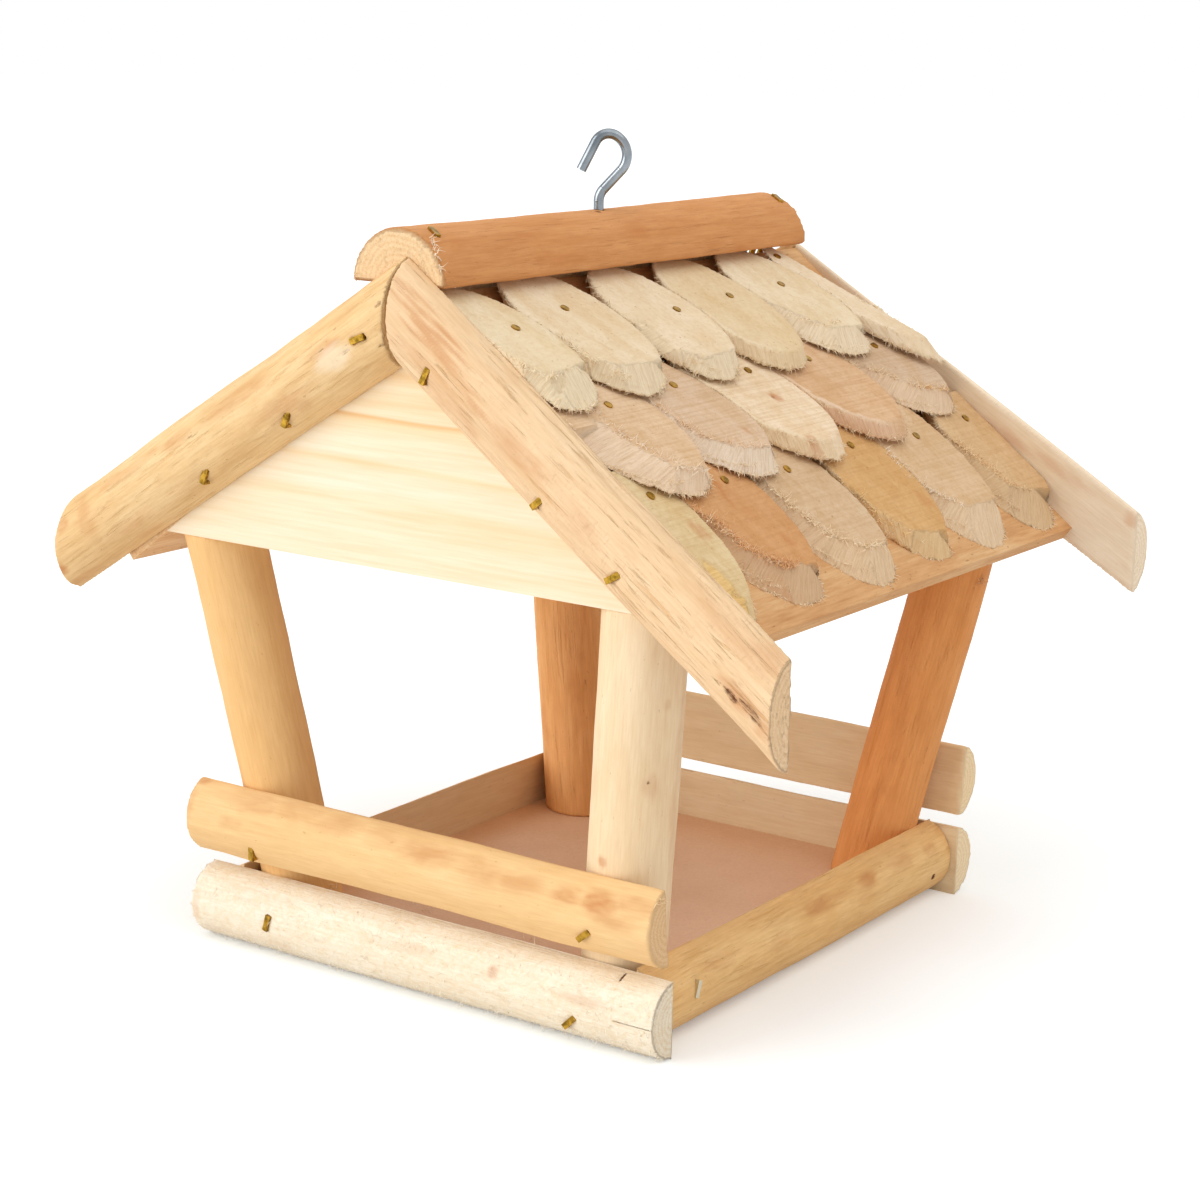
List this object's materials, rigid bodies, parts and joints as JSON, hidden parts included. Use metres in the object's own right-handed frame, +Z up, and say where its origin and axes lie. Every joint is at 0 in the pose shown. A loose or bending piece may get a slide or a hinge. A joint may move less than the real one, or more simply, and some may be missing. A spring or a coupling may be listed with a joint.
{
  "type": "hanging bird feeder",
  "caption": "Hanging wooden bird feeder: a rail-edged tray on leaning log posts under a gable roof with sliced-branch shingles, a ridge log and a wire hook.",
  "frame": {"origin": "on the ground under the middle of the feeder's bounding box", "axes": "+X across the gable to the viewer's right, +Y to the back along the ridge, +Z up"},
  "size_m": [0.292, 0.2578, 0.2802],
  "materials": {
    "hardboard": "matt",
    "pale_log": "matt",
    "golden_log": "matt",
    "pink_log": "matt",
    "orange_log": "matt",
    "gable_pine": "matt",
    "roof_board": "matt",
    "cream_slice": "matt",
    "pink_slice": "matt",
    "tan_slice": "matt",
    "brass_staple": "satin",
    "zinc_steel": "bright zinc"
  },
  "bodies": {
    "root": {"floor_panel": "hardboard", "front_lower_rail": "pale_log", "front_upper_rail": "golden_log", "back_lower_rail": "pink_log", "back_upper_rail": "pink_log", "left_side_rail": "golden_log", "right_side_rail": "golden_log", "front_left_post": "golden_log", "front_right_post": "pale_log", "back_left_post": "orange_log", "back_right_post": "orange_log", "front_gable_board": "gable_pine", "back_gable_board": "gable_pine", "left_roof_panel": "roof_board", "right_roof_panel": "roof_board", "front_left_rake": "golden_log", "front_right_rake": "golden_log", "back_left_rake": "pink_log", "back_right_rake": "pink_log", "ridge_log": "orange_log", "hanging_hook": "zinc_steel", "rail_staples": "brass_staple", "roof_staples": "brass_staple", "shingle_nails": "brass_staple", "panel_nails": "zinc_steel", "frame_screws": "zinc_steel", "right_top_shingle_1": "cream_slice", "right_top_shingle_2": "cream_slice", "right_top_shingle_3": "cream_slice", "right_top_shingle_4": "cream_slice", "right_top_shingle_5": "cream_slice", "right_top_shingle_6": "cream_slice", "right_middle_shingle_1": "pink_slice", "right_middle_shingle_2": "pink_slice", "right_middle_shingle_3": "pink_slice", "right_middle_shingle_4": "pink_slice", "right_middle_shingle_5": "pink_slice", "right_bottom_shingle_1": "tan_slice", "right_bottom_shingle_2": "tan_slice", "right_bottom_shingle_3": "tan_slice", "right_bottom_shingle_4": "tan_slice", "right_bottom_shingle_5": "tan_slice", "right_bottom_shingle_6": "tan_slice", "left_top_shingle_1": "cream_slice", "left_top_shingle_2": "cream_slice", "left_top_shingle_3": "cream_slice", "left_top_shingle_4": "cream_slice", "left_top_shingle_5": "cream_slice", "left_top_shingle_6": "cream_slice", "left_middle_shingle_1": "pink_slice", "left_middle_shingle_2": "pink_slice", "left_middle_shingle_3": "pink_slice", "left_middle_shingle_4": "pink_slice", "left_middle_shingle_5": "pink_slice", "left_bottom_shingle_1": "tan_slice", "left_bottom_shingle_2": "tan_slice", "left_bottom_shingle_3": "tan_slice", "left_bottom_shingle_4": "tan_slice", "left_bottom_shingle_5": "tan_slice", "left_bottom_shingle_6": "tan_slice"}
  },
  "joints": []
}
